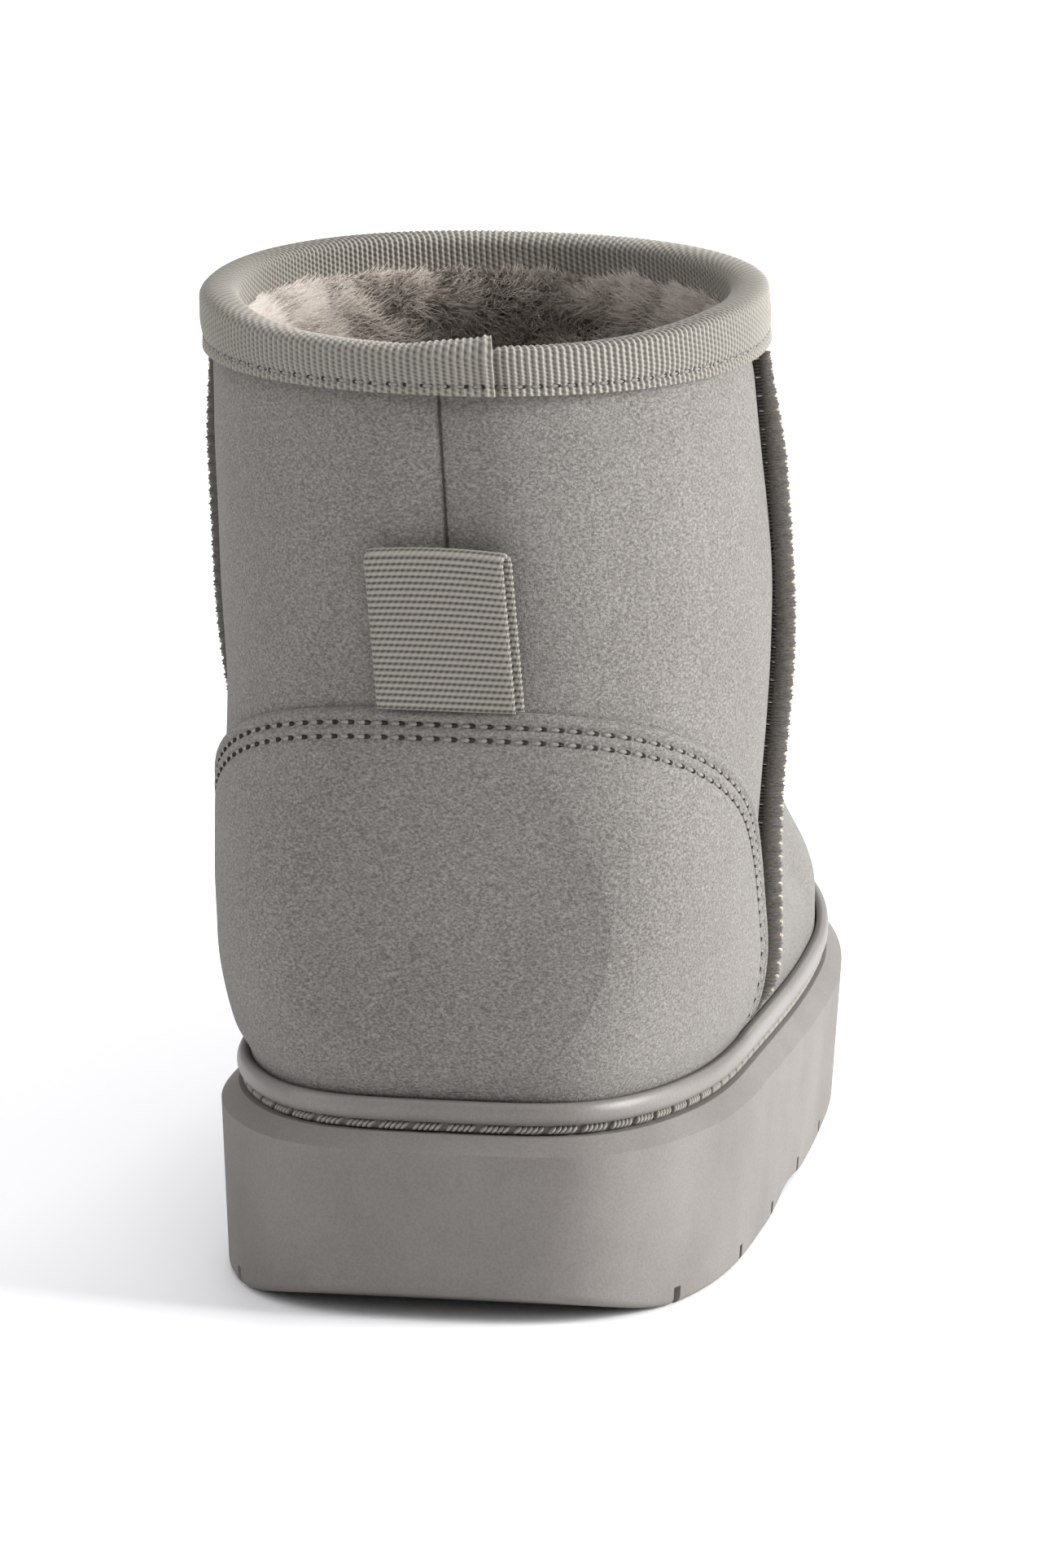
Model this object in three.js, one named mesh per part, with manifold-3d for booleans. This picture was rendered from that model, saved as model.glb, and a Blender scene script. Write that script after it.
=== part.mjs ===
// A mini sheepskin boot on a platform sole, the right foot's, in millimetres.
// +Z is up, the toe points along +Y and +X is the outer side of the foot.
import * as THREE from "three";
import { mergeVertices } from "three/addons/utils/BufferGeometryUtils.js";
import Module from "manifold-3d";

const wasm = await Module();
wasm.setup();

// Overall sizes
const soleLength = 275;
const ballWidth = 104;
const heelWidth = 100;
const collarHeight = 178.4; // floor to the top of the shaft's wall
const collarLength = 119;
const collarWidth = 99.5;

// Platform
const ledgeHeight = 35; // floor to the stitched ledge at the heel
const chamferSize = 3;
const wallTaper = 1.5; // how far the side wall leans in towards the floor
const bottomRound = 1.4;
const heelRise = 5;
const heelRun = 18; // length of the raised back edge
const toeRise = 9;
const toeRun = 64; // length of the toe spring
const archRise = 1.6;
const grooveWidth = 2.2;
const grooveDepth = 3.4;
const groovePitch = 34;
const firstGroove = 24; // from the back of the heel

// Bead that runs round the top of the platform
const beadHeight = 4.2;
const beadSeat = 2; // height of the recess under the bead
const beadInset = 2.7; // its outermost line, in from the sole's side
const recessInset = 4.1;
const featherInset = 5.3; // the upper's foot, in from the sole's side

// Soft parts
const upperWall = 3;
const insoleThickness = 4;
const counterThickness = 1.2;
const counterHeight = 78; // over the stitched ledge, at the back
const counterReach = 72; // how far forward of the heel its sides run
const seamWidth = 5;
const seamProud = 3.4; // how far the side seams stand off the wall
const bindingHeight = 9;
const bindingThickness = 1.3;
const loopWidth = 25;
const loopHeight = 28;
const loopTape = 1.1; // thickness of the loop's webbing
const loopGap = 1; // between the loop's two legs
const loopShift = 1.3; // how far its back leg lies to the outer side
const loopAside = 0.5; // how far its foot lies to the inner side of the back seam
const loopLean = (5.6 * Math.PI) / 180;
const clearance = 0.3;

// Half widths of the sole's outline, as shares of its nominal half width, which
// passes from the heel's to the ball's
const footRows = [
  { along: 0.0, inner: 0.96, outer: 0.92 },
  { along: 0.15, inner: 1.025, outer: 0.99 },
  { along: 0.3, inner: 0.96, outer: 0.985 },
  { along: 0.45, inner: 0.89, outer: 0.975 },
  { along: 0.6, inner: 0.98, outer: 0.965 },
  { along: 0.7, inner: 1.05, outer: 0.965 },
  { along: 0.82, inner: 1.07, outer: 0.94 },
  { along: 1.0, inner: 1.0, outer: 0.8 },
];
const heelSquare = 4; // a superellipse's power: 2 is round
const toeSquare = 2.7;
const shaftSquare = 2.2;

// Height of the ledge along the sole, as shares of its height at the heel
const ledgeRows = [
  { along: 0.0, height: 1.0 },
  { along: 0.3, height: 0.96 },
  { along: 0.5, height: 0.89 },
  { along: 0.7, height: 0.84 },
  { along: 0.85, height: 0.88 },
  { along: 1.0, height: 1.02 },
];

// The upper's level sections, from the sole up. level is the share of the way from the
// ledge to the collar, back is in shares of the feather's inset, front in shares of the
// way from the collar's front to the toe's feather, half in shares of the collar's half
// width, skew moves the widest place back, heel is the power of the back's curve, foot is
// the share of the sole's outline and swell is how far the heel's wall stands out over its
// feather, in shares of the inset.
const upperRows = [
  { level: 0.0, back: 1.0, front: 1.0, half: 0.902, skew: 1.0, heel: heelSquare, foot: 1.0, swell: 0 },
  { level: 0.045, back: 1.0, front: 1.0, half: 0.902, skew: 1.0, heel: heelSquare, foot: 1.0, swell: 0 },
  { level: 0.09, back: 0.56, front: 1.01, half: 0.902, skew: 1.0, heel: 3.8, foot: 1.0, swell: 0.5 },
  { level: 0.145, back: 0.28, front: 1.0, half: 0.9, skew: 1.2, heel: 3.2, foot: 0.9, swell: 0.8 },
  { level: 0.215, back: 0.15, front: 0.95, half: 0.905, skew: 1.6, heel: 2.5, foot: 0.7, swell: 0.92 },
  { level: 0.285, back: 0.15, front: 0.85, half: 0.93, skew: 1.95, heel: 2.0, foot: 0.5, swell: 0.92 },
  { level: 0.36, back: 0.3, front: 0.62, half: 0.95, skew: 1.85, heel: 1.9, foot: 0.3, swell: 0.92 },
  { level: 0.425, back: 0.46, front: 0.41, half: 0.963, skew: 1.6, heel: 1.9, foot: 0.15, swell: 1.0 },
  { level: 0.48, back: 0.6, front: 0.285, half: 0.973, skew: 1.42, heel: 1.95, foot: 0.05, swell: 1.0 },
  { level: 0.535, back: 0.74, front: 0.195, half: 0.981, skew: 1.27, heel: 2.0, foot: 0.0, swell: 1.0 },
  { level: 0.6, back: 0.85, front: 0.122, half: 0.985, skew: 1.14, heel: 2.1, foot: 0.0, swell: 1.0 },
  { level: 0.675, back: 0.94, front: 0.065, half: 0.987, skew: 1.06, heel: 2.2, foot: 0.0, swell: 1.0 },
  { level: 0.77, back: 1.0, front: 0.026, half: 0.99, skew: 1.0, heel: 2.2, foot: 0.0, swell: 1.0 },
  { level: 0.88, back: 1.08, front: 0.007, half: 0.995, skew: 1.0, heel: 2.2, foot: 0.0, swell: 1.0 },
  { level: 1.0, back: 1.4, front: 0.0, half: 1.0, skew: 1.0, heel: 2.2, foot: 0.0, swell: 1.0 },
];
const collarBack = upperRows[upperRows.length - 1].back * featherInset;
const shaftLean = 4.2; // how far the collar leans to the inner side

const around = 56; // points round each section
const shellLevels = [0, 0.025, 0.05, 0.075, 0.11, 0.15, 0.2, 0.26, 0.32, 0.38, 0.43, 0.48, 0.535, 0.6, 0.68, 0.78, 0.89, 1];
const fullTurn = 2 * Math.PI;

// A table's column at a key, as a smooth curve through its rows
function curveAt(rows, key, column, at) {
  const last = rows.length - 1;
  const place = Math.min(Math.max(at, rows[0][key]), rows[last][key]);
  let i = 0;
  while (i < last - 1 && place > rows[i + 1][key]) i += 1;
  const slope = (j) => {
    const a = rows[Math.max(j - 1, 0)];
    const b = rows[Math.min(j + 1, last)];
    return (b[column] - a[column]) / (b[key] - a[key]);
  };
  const span = rows[i + 1][key] - rows[i][key];
  const s = (place - rows[i][key]) / span;
  const s2 = s * s;
  const s3 = s2 * s;
  return (
    (2 * s3 - 3 * s2 + 1) * rows[i][column] +
    (s3 - 2 * s2 + s) * span * slope(i) +
    (3 * s2 - 2 * s3) * rows[i + 1][column] +
    (s3 - s2) * span * slope(i + 1)
  );
}

const mix = (a, b, share) => a + (b - a) * share;
const side = (turn) => (Math.sin(turn) >= 0 ? "outer" : "inner");
const cap = (turn, power) => Math.pow(Math.max(1 - Math.pow(Math.abs(Math.cos(turn)), power), 0), 1 / power);
const ease = (share) => Math.pow(Math.sin((Math.PI / 2) * Math.min(Math.max(share, 0), 1)), 2);

function footHalf(turn, along) {
  const nominal = mix(heelWidth, ballWidth, ease((along - 0.15) / 0.45)) / 2;
  return nominal * curveAt(footRows, "along", side(turn), along);
}

// The sole's outline: turn 0 is the back of the heel, a quarter turn the outer side
function outline(turn, inset) {
  const power = Math.cos(turn) > 0 ? heelSquare : toeSquare;
  const along = (1 - Math.cos(turn)) / 2;
  const half = footHalf(turn, along) - inset;
  const x = Math.sign(Math.sin(turn)) * half * cap(turn, power);
  return [x, inset + along * (soleLength - 2 * inset)];
}

// The height of the sole's underside: raised at the back, sprung at the toe, with a low arch
function ground(y) {
  if (y < heelRun) return heelRise * Math.pow((heelRun - y) / heelRun, 1.7);
  const toeStart = soleLength - toeRun;
  if (y > toeStart) return toeRise * Math.pow((y - toeStart) / toeRun, 1.8);
  const archStart = soleLength * 0.32;
  const archEnd = soleLength * 0.5;
  if (y < archStart || y > archEnd) return 0;
  return archRise * Math.pow(Math.sin((Math.PI * (y - archStart)) / (archEnd - archStart)), 2);
}

const ledge = (y) => ledgeHeight * curveAt(ledgeRows, "along", "height", y / soleLength);

// A point of the upper's outer face, at a turn and a level (0 the ledge, 1 the collar)
function upperPoint(turn, level) {
  const row = (column) => curveAt(upperRows, "level", column, level);
  const foot = row("foot");
  const power = Math.cos(turn) > 0 ? row("heel") : mix(shaftSquare, toeSquare, foot);
  const along = Math.pow((1 - Math.cos(turn)) / 2, row("skew"));
  const back = row("back") * featherInset;
  const front = mix(collarBack + collarLength, soleLength - featherInset, row("front"));
  const swell = row("swell") * mix(1, 0.1, ease((along - 0.25) / 0.35));
  const footWidth = footHalf(turn, along) - featherInset * (1 - swell);
  const half = mix((row("half") * collarWidth) / 2, footWidth, foot);
  const lean = shaftLean * Math.pow(Math.max((level - 0.45) / 0.55, 0), 1.5);
  const height = mix(ledgeHeight, collarHeight, level) + clearance;
  const follow = Math.pow(Math.max(1 - level / 0.5, 0), 0.7) * (ledge(back + (front - back) * along) - ledge(0));
  return new THREE.Vector3(
    Math.sign(Math.sin(turn)) * half * cap(turn, power) - lean,
    back + (front - back) * along,
    height + follow,
  );
}

// The same face moved out along its normal
function upperOffset(turn, level, distance) {
  const step = 0.004;
  const low = Math.max(level - step, 0);
  const high = Math.min(level + step, 1);
  const roundways = upperPoint(turn + step, level).sub(upperPoint(turn - step, level));
  const upways = upperPoint(turn, high).sub(upperPoint(turn, low));
  const normal = roundways.cross(upways).normalize();
  if (level < 0.05) normal.setZ(0).normalize();
  return upperPoint(turn, level).addScaledVector(normal, distance);
}

// The turn at which the upper's section at a level passes a place along the foot
function turnAt(y, level, sign) {
  let low = 0;
  let high = Math.PI;
  for (let i = 0; i < 40; i += 1) {
    const middle = (low + high) / 2;
    if (upperPoint(sign * middle, level).y < y) low = middle;
    else high = middle;
  }
  return (sign * (low + high)) / 2;
}

// One closed solid from a grid of points: rows of the same length, joined in turn.
// closedRows joins each row's ends, closedColumns joins the last row to the first.
function gridSolid(rows, closedRows, closedColumns) {
  const count = rows[0].length;
  const points = rows.flat();
  const at = (i, j) => (i % rows.length) * count + (j % count);
  const index = [];
  const quad = (a, b, c, d) => index.push(a, b, c, a, c, d);
  const lastRow = closedColumns ? rows.length : rows.length - 1;
  const lastColumn = closedRows ? count : count - 1;
  for (let i = 0; i < lastRow; i += 1) {
    for (let j = 0; j < lastColumn; j += 1) quad(at(i, j), at(i, j + 1), at(i + 1, j + 1), at(i + 1, j));
  }
  if (closedRows && !closedColumns) {
    [0, rows.length - 1].forEach((row) => capRow(index, at, row, count, row === 0));
  }
  if (!closedRows && closedColumns) {
    [0, count - 1].forEach((column) => capColumn(index, at, column, rows.length, column === 0));
  }
  return geometryOf(points, index);
}

// Closes a row that mirrors about its first and middle points with strips across it
function capRow(index, at, row, count, first) {
  for (let j = 0; j < count / 2; j += 1) {
    const a = at(row, j);
    const b = at(row, j + 1);
    const c = at(row, count - j - 1);
    const d = at(row, (count - j) % count);
    const faces = [];
    if (j < count / 2 - 1) faces.push([a, c, b]);
    if (j > 0) faces.push([a, d, c]);
    faces.forEach(([p, q, r]) => index.push(...(first ? [p, q, r] : [p, r, q])));
  }
}

// Closes the end of a bar with a fan from its first corner
function capColumn(index, at, column, count, first) {
  for (let i = 1; i < count - 1; i += 1) {
    const faces = [at(0, column), at(i, column), at(i + 1, column)];
    index.push(...(first ? faces : faces.reverse()));
  }
}

function geometryOf(points, index) {
  const positions = points.flatMap((p) => (p.isVector3 ? p.toArray() : p));
  const geometry = new THREE.BufferGeometry();
  geometry.setAttribute("position", new THREE.Float32BufferAttribute(positions, 3));
  geometry.setIndex(index);
  return geometry;
}

function toManifold(geometry) {
  const bare = geometry.clone();
  bare.deleteAttribute("normal");
  bare.deleteAttribute("uv");
  const merged = mergeVertices(bare, 1e-4);
  const mesh = new wasm.Mesh({
    numProp: 3,
    vertProperties: merged.attributes.position.array,
    triVerts: new Uint32Array(merged.index.array),
  });
  return new wasm.Manifold(mesh);
}

function fromManifold(solid) {
  const mesh = solid.getMesh();
  const geometry = new THREE.BufferGeometry();
  geometry.setAttribute("position", new THREE.BufferAttribute(mesh.vertProperties, 3));
  geometry.setIndex(new THREE.BufferAttribute(mesh.triVerts, 1));
  return geometry;
}

const turns = Array.from({ length: around }, (_, i) => (fullTurn * i) / around);
const ring = (pointAt) => turns.map(pointAt);

// The platform unit, from its underside up to the ledge, with grooves across its tread
function outsoleGeometry() {
  const low = (inset, lift) => ring((turn) => {
    const [x, y] = outline(turn, inset);
    return [x, y, ground(y) + lift];
  });
  const high = (inset, drop) => ring((turn) => {
    const [x, y] = outline(turn, inset);
    return [x, y, ledge(y) - drop];
  });
  const rows = [
    low(wallTaper + bottomRound, 0),
    low(wallTaper + bottomRound * 0.3, bottomRound * 0.3),
    low(wallTaper, bottomRound),
    high(0, chamferSize),
    high(chamferSize, 0),
  ];
  let solid = toManifold(gridSolid(rows, true, false));
  for (let y = firstGroove; y < soleLength - groovePitch / 2; y += groovePitch) {
    const bar = new THREE.BoxGeometry(ballWidth * 1.3, grooveWidth, grooveDepth * 2);
    bar.translate(0, y, ground(y));
    solid = solid.subtract(toManifold(bar));
  }
  return fromManifold(solid);
}

// The rounded bead and the recess under it, as one ring laid on the ledge
function weltGeometry() {
  const bulge = (featherInset - clearance - beadInset) / 2;
  const middle = beadInset + bulge;
  const arc = Array.from({ length: 6 }, (_, i) => {
    const angle = -0.5 * Math.PI + (Math.PI * i) / 5;
    return {
      inset: middle - bulge * Math.cos(angle),
      lift: beadSeat + (beadHeight / 2) * (1 + Math.sin(angle)),
    };
  });
  const profile = [
    { inset: featherInset - clearance, lift: clearance },
    { inset: recessInset, lift: clearance },
    { inset: recessInset, lift: beadSeat },
    ...arc.slice(1, 5),
    { inset: middle, lift: beadSeat + beadHeight },
    { inset: featherInset - clearance, lift: beadSeat + beadHeight * 0.94 },
  ];
  const rows = profile.map(({ inset, lift }) => ring((turn) => {
    const [x, y] = outline(turn, inset);
    return [x, y, ledge(y) + lift];
  }));
  return gridSolid(rows, true, true);
}

// The shell of shaft, quarters and vamp: one wall, open at the collar and underneath
function upperGeometry() {
  const outer = shellLevels.map((level) => ring((turn) => upperPoint(turn, level)));
  const inner = shellLevels.map((level) => ring((turn) => upperOffset(turn, level, -upperWall)));
  return gridSolid([...outer, ...inner.reverse()], true, true);
}

// The footbed, inside the wall's foot
function insoleGeometry() {
  const inset = featherInset + upperWall + 1.2 + clearance;
  const rows = [clearance, clearance + insoleThickness].map((lift) => ring((turn) => {
    const [x, y] = outline(turn, inset);
    return [x, y, ledge(y) + lift];
  }));
  return gridSolid(rows, true, false);
}

// The height of the counter's edge at a place forward of the heel
function counterEdge(y) {
  const foot = ledgeHeight + beadSeat + beadHeight + 1;
  const share = Math.min(Math.max(y / counterReach, 0), 1);
  return foot + (counterHeight - beadSeat - beadHeight - 1) * Math.pow(1 - share, 0.42);
}

// A closed form of the upper's outer face, moved out by a distance
function upperForm(distance) {
  const rows = shellLevels.map((level) => ring((turn) => upperOffset(turn, level, distance)));
  return toManifold(gridSolid(rows, true, false));
}

// The suede overlay round the heel, cut between two forms of the upper's own face
function counterGeometry() {
  const steps = 20;
  const side = new THREE.Shape();
  side.moveTo(-ballWidth, ledgeHeight + beadSeat + beadHeight + 1);
  side.lineTo(-ballWidth, counterEdge(0));
  for (let i = 0; i <= steps; i += 1) {
    const y = counterReach * Math.sin((Math.PI / 2) * (i / steps));
    side.lineTo(y, Math.max(counterEdge(y), ledgeHeight + beadSeat + beadHeight + 1));
  }
  const cutter = new THREE.ExtrudeGeometry(side, { depth: 2 * ballWidth, bevelEnabled: false });
  const acrossToX = new THREE.Matrix4().makeBasis(
    new THREE.Vector3(0, 1, 0),
    new THREE.Vector3(0, 0, 1),
    new THREE.Vector3(1, 0, 0),
  );
  cutter.applyMatrix4(acrossToX);
  cutter.translate(-ballWidth, 0, 0);
  const shell = upperForm(clearance + counterThickness).subtract(upperForm(clearance));
  return fromManifold(shell.intersect(toManifold(cutter)));
}

// A raised side seam, from the bead up to the binding
function seamGeometry(sign) {
  const steps = 20;
  const bottom = (beadSeat + beadHeight + 1) / (collarHeight - ledgeHeight);
  const top = 1 - (bindingHeight + clearance) / (collarHeight - ledgeHeight);
  const profile = [
    { across: -0.5, out: 0 },
    { across: 0.5, out: 0 },
    { across: 0.46, out: 0.6 },
    { across: 0.2, out: 1 },
    { across: -0.2, out: 1 },
    { across: -0.46, out: 0.6 },
  ];
  const rows = profile.map(({ across, out }) => (
    Array.from({ length: steps + 1 }, (_, i) => {
      const level = mix(bottom, top, i / steps);
      const y = seamLine(i / steps) + across * seamWidth;
      return upperOffset(turnAt(y, level, sign), level, clearance + out * seamProud);
    })
  ));
  return gridSolid(sign > 0 ? rows : rows.reverse(), false, true);
}

// Where a side seam runs along the foot, from its foot (0) to its top (1)
const seamLine = (share) => mix(counterReach + clearance + seamWidth * 0.75, collarLength * 0.56, share);

// The ribbed tape folded over the collar's edge
function bindingGeometry() {
  const reach = bindingHeight / (collarHeight - ledgeHeight);
  const out = clearance + bindingThickness;
  const at = (level, distance, lift) => ring((turn) => {
    const p = upperOffset(turn, level, distance);
    return p.setZ(p.z + lift);
  });
  const back = -upperWall;
  const rows = [
    at(1 - reach, clearance, 0),
    at(1 - reach, out, 0),
    at(1, out, 0),
    at(1, out * 0.5, out * 0.8),
    at(1, back / 2, out),
    at(1, back - out * 0.5, out * 0.8),
    at(1, back - out, 0),
    at(1 - reach, back - out, 0),
    at(1 - reach, back - clearance, 0),
    at(1, back - clearance, clearance),
    at(1, clearance, clearance),
  ];
  return gridSolid(rows, true, true);
}

// The pull loop: a strip of webbing folded at its top, its front leg slanted and its
// back leg a little to the outer side, standing on the counter's top edge
function loopGeometry() {
  const turnRadius = (loopTape + loopGap) / 2;
  const straight = loopHeight - turnRadius - loopTape / 2;
  const bend = 7;
  const stations = [
    { out: 2 * turnRadius, up: 0, angle: 0, front: 1 },
    ...Array.from({ length: bend }, (_, i) => {
      const angle = (Math.PI * i) / (bend - 1);
      const out = turnRadius * (1 + Math.cos(angle));
      return { out, up: straight + turnRadius * Math.sin(angle), angle, front: 1 - i / (bend - 1) };
    }),
    { out: 0, up: 0, angle: Math.PI, front: 0 },
  ];
  const foot = counterEdge(0) + clearance;
  const base = upperPoint(0, (foot - ledgeHeight) / (collarHeight - ledgeHeight));
  const seat = base.y - clearance - loopTape / 2;
  const corners = [[-0.5, -0.5], [0.5, -0.5], [0.5, 0.5], [-0.5, 0.5]];
  const rows = corners.map(([across, through]) => stations.map(({ out, up, angle, front }) => {
    const x = across * loopWidth + mix(loopShift, 0, front) - up * Math.tan(loopLean) - loopAside;
    const y = seat - out - through * loopTape * Math.cos(angle);
    return [x, y, foot + up + through * loopTape * Math.sin(angle)];
  }));
  return gridSolid(rows, false, true);
}

const suede = new THREE.MeshStandardMaterial({ color: 0x8f8b86, roughness: 0.95, metalness: 0 });
const suedeDark = new THREE.MeshStandardMaterial({ color: 0x5f5a56, roughness: 0.95, metalness: 0 });
const rubber = new THREE.MeshStandardMaterial({ color: 0x857f79, roughness: 0.7, metalness: 0 });
const webbing = new THREE.MeshStandardMaterial({ color: 0x9a958e, roughness: 0.85, metalness: 0 });
const board = new THREE.MeshStandardMaterial({ color: 0xa39890, roughness: 1, metalness: 0 });

const boot = new THREE.Group();

function add(name, geometry, material) {
  const mesh = new THREE.Mesh(geometry, material.clone());
  mesh.name = name;
  boot.add(mesh);
  return mesh;
}

add("outsole", outsoleGeometry(), rubber);
add("welt", weltGeometry(), rubber);
add("insole", insoleGeometry(), board);
add("upper", upperGeometry(), suede);
add("heel_counter", counterGeometry(), suede);
add("side_seam_outer", seamGeometry(1), suedeDark);
add("side_seam_inner", seamGeometry(-1), suedeDark);
add("collar_binding", bindingGeometry(), webbing);
add("pull_loop", loopGeometry(), webbing);

// The origin is under the middle of the boot's box
const box = new THREE.Box3().setFromObject(boot);
const middle = box.getCenter(new THREE.Vector3());
boot.position.set(-middle.x, -middle.y, -box.min.z);

export default boot;
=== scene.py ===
import bpy
import bmesh
import math
import numpy as np
from mathutils import Matrix, Vector, kdtree, noise


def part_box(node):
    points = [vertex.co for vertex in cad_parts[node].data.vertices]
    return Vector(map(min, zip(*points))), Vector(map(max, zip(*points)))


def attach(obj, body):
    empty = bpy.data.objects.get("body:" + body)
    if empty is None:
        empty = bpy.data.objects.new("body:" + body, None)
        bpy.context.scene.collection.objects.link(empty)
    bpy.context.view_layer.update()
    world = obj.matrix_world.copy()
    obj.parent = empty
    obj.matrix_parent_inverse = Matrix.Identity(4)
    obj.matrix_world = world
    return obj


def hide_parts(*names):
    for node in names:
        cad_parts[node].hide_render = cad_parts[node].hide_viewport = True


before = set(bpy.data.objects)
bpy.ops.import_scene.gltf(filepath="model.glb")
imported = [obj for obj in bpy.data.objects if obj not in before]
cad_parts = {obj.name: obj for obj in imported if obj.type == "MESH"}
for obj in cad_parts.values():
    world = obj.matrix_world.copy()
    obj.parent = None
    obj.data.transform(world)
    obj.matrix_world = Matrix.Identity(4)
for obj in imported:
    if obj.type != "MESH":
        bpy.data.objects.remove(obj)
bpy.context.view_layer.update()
print("frame loaded, nodes:", len(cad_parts))

mm = 0.001  # every size below is in millimetres, Blender's are in metres
scene = bpy.context.scene

# The camera stands behind the heel, a little to the outer side, and looks slightly down
cameraSettings = {
    "aim": (6.6, -76.1, 88.0),  # near the middle of the boot
    "turnedOut": 8.39,
    "above": 11.66,
    "roll": 0.64,
    "distance": 2179,
    "lens": 271.5,
}


def addObject(name, data):
    made = bpy.data.objects.new(name, data)
    scene.collection.objects.link(made)
    return made


def makeCamera(settings):
    lens = bpy.data.cameras.new("photo_camera")
    lens.lens = settings["lens"]
    lens.clip_start = 0.05
    lens.clip_end = 60
    camera = addObject("photo_camera", lens)
    turned = math.radians(settings["turnedOut"])
    above = math.radians(settings["above"])
    level = math.cos(above)
    back = Vector((math.sin(turned) * level, -math.cos(turned) * level, math.sin(above)))
    place = Vector(settings["aim"]) * mm + back * settings["distance"] * mm
    facing = (-back).to_track_quat("-Z", "Y").to_matrix().to_4x4()
    roll = Matrix.Rotation(math.radians(settings["roll"]), 4, "Z")
    camera.matrix_world = Matrix.Translation(place) @ facing @ roll
    scene.camera = camera


makeCamera(cameraSettings)

# The boot's sizes as its solids have them, but for those marked fitted, which follow the photo more closely
boot = {
    "soleLength": 275,
    "ballWidth": 104,
    "heelWidth": 100,
    "collarHeight": 178.4,
    "collarLength": 119,
    "collarWidth": 99.5,
    "ledgeHeight": 35,
    "heelRise": 6.2,  # fitted
    "heelRun": 25,  # fitted
    "toeRise": 9,
    "toeRun": 64,
    "archRise": 1.6,
    "archStart": 0.32,  # as shares of the length
    "archRun": 0.18,
    "featherInset": 5.3,
    "wall": 3,
    "clearance": 0.3,
    "heelSquare": 4,
    "toeSquare": 2.7,
    "shaftSquare": 2.2,
    "shaftLean": 4.2,
    "collarDip": 2.3,  # fitted, how far the soft collar dips at the back
    "waist": 4.2,  # fitted, how far the forefoot narrows above the bead
    "waistHeight": 55,
}
shaftSpan = boot["collarHeight"] - boot["ledgeHeight"]


def table(names, *rows):
    # rows of numbers under named columns, of which the first, at, is the place that the others go by
    return {name: np.array(column, float) for name, column in zip(names.split(), zip(*rows))}


footRows = table(
    "at inner outer",
    (0.0, 0.96, 0.92),
    (0.15, 1.025, 0.99),
    (0.3, 0.96, 0.985),
    (0.45, 0.89, 0.975),
    (0.6, 0.98, 0.965),
    (0.7, 1.05, 0.965),
    (0.82, 1.07, 0.94),
    (1.0, 1.0, 0.8),
)

ledgeRows = table(
    "at height",
    (0.0, 1.0),
    (0.3, 0.96),
    (0.5, 0.89),
    (0.7, 0.84),
    (0.85, 0.88),
    (1.0, 1.02),
)

# The shaft's half widths are fitted, about 2% over the solids'
upperRows = table(
    "at back front half skew heel foot swell",
    (0.0, 1.0, 1.0, 0.902, 1.0, 4.0, 1.0, 0),
    (0.045, 1.0, 1.0, 0.902, 1.0, 4.0, 1.0, 0),
    (0.09, 0.56, 1.01, 0.902, 1.0, 3.8, 1.0, 0.5),
    (0.145, 0.28, 1.0, 0.9, 1.2, 3.2, 0.9, 0.8),
    (0.215, 0.15, 0.95, 0.905, 1.6, 2.5, 0.7, 0.92),
    (0.285, 0.15, 0.85, 0.935, 1.95, 2.0, 0.5, 0.92),
    (0.36, 0.3, 0.62, 0.965, 1.85, 1.9, 0.3, 0.92),
    (0.425, 0.46, 0.41, 0.985, 1.6, 1.9, 0.15, 1),
    (0.48, 0.6, 0.285, 1.0, 1.42, 1.95, 0.05, 1),
    (0.535, 0.74, 0.195, 1.012, 1.27, 2.0, 0.0, 1),
    (0.6, 0.85, 0.122, 1.02, 1.14, 2.1, 0.0, 1),
    (0.675, 0.94, 0.065, 1.02, 1.06, 2.2, 0.0, 1),
    (0.77, 1.0, 0.026, 1.016, 1.0, 2.2, 0.0, 1),
    (0.88, 1.08, 0.007, 1.008, 1.0, 2.2, 0.0, 1),
    (1.0, 1.4, 0.0, 0.996, 1.0, 2.2, 0.0, 1),
)


def curveAt(rows, column, at):
    # a smooth curve through one column of a table
    keys, values = rows["at"], rows[column]
    last = len(keys) - 1
    before = np.maximum(np.arange(len(keys)) - 1, 0)
    after = np.minimum(np.arange(len(keys)) + 1, last)
    slopes = (values[after] - values[before]) / (keys[after] - keys[before])
    place = np.clip(at, keys[0], keys[-1])
    i = np.clip(np.searchsorted(keys, place, side="right") - 1, 0, last - 1)
    span = keys[i + 1] - keys[i]
    s = (place - keys[i]) / span
    rise = (3 - 2 * s) * s * s
    start = (1 - rise) * values[i] + s * (1 - s) * (1 - s) * span * slopes[i]
    return start + rise * values[i + 1] - s * s * (1 - s) * span * slopes[i + 1]


def mix(a, b, share):
    return a + (b - a) * share


def ease(share):
    return np.sin(math.pi / 2 * np.clip(share, 0, 1)) ** 2


def cap(turn, power):
    return np.maximum(1 - np.abs(np.cos(turn)) ** power, 0) ** (1 / power)


def bump(distance, width):
    return np.exp(-((distance / width) ** 2))


def footHalf(turn, along):
    nominal = mix(boot["heelWidth"], boot["ballWidth"], ease((along - 0.15) / 0.45)) / 2
    outer = curveAt(footRows, "outer", along)
    inner = curveAt(footRows, "inner", along)
    return nominal * np.where(np.sin(turn) >= 0, outer, inner)


def outline(turn, inset):
    # the sole's outline: turn 0 is the back of the heel, a quarter turn the outer side
    power = np.where(np.cos(turn) > 0, boot["heelSquare"], boot["toeSquare"])
    along = (1 - np.cos(turn)) / 2
    half = footHalf(turn, along) - inset
    return np.sign(np.sin(turn)) * half * cap(turn, power), inset + along * (boot["soleLength"] - 2 * inset)


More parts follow.
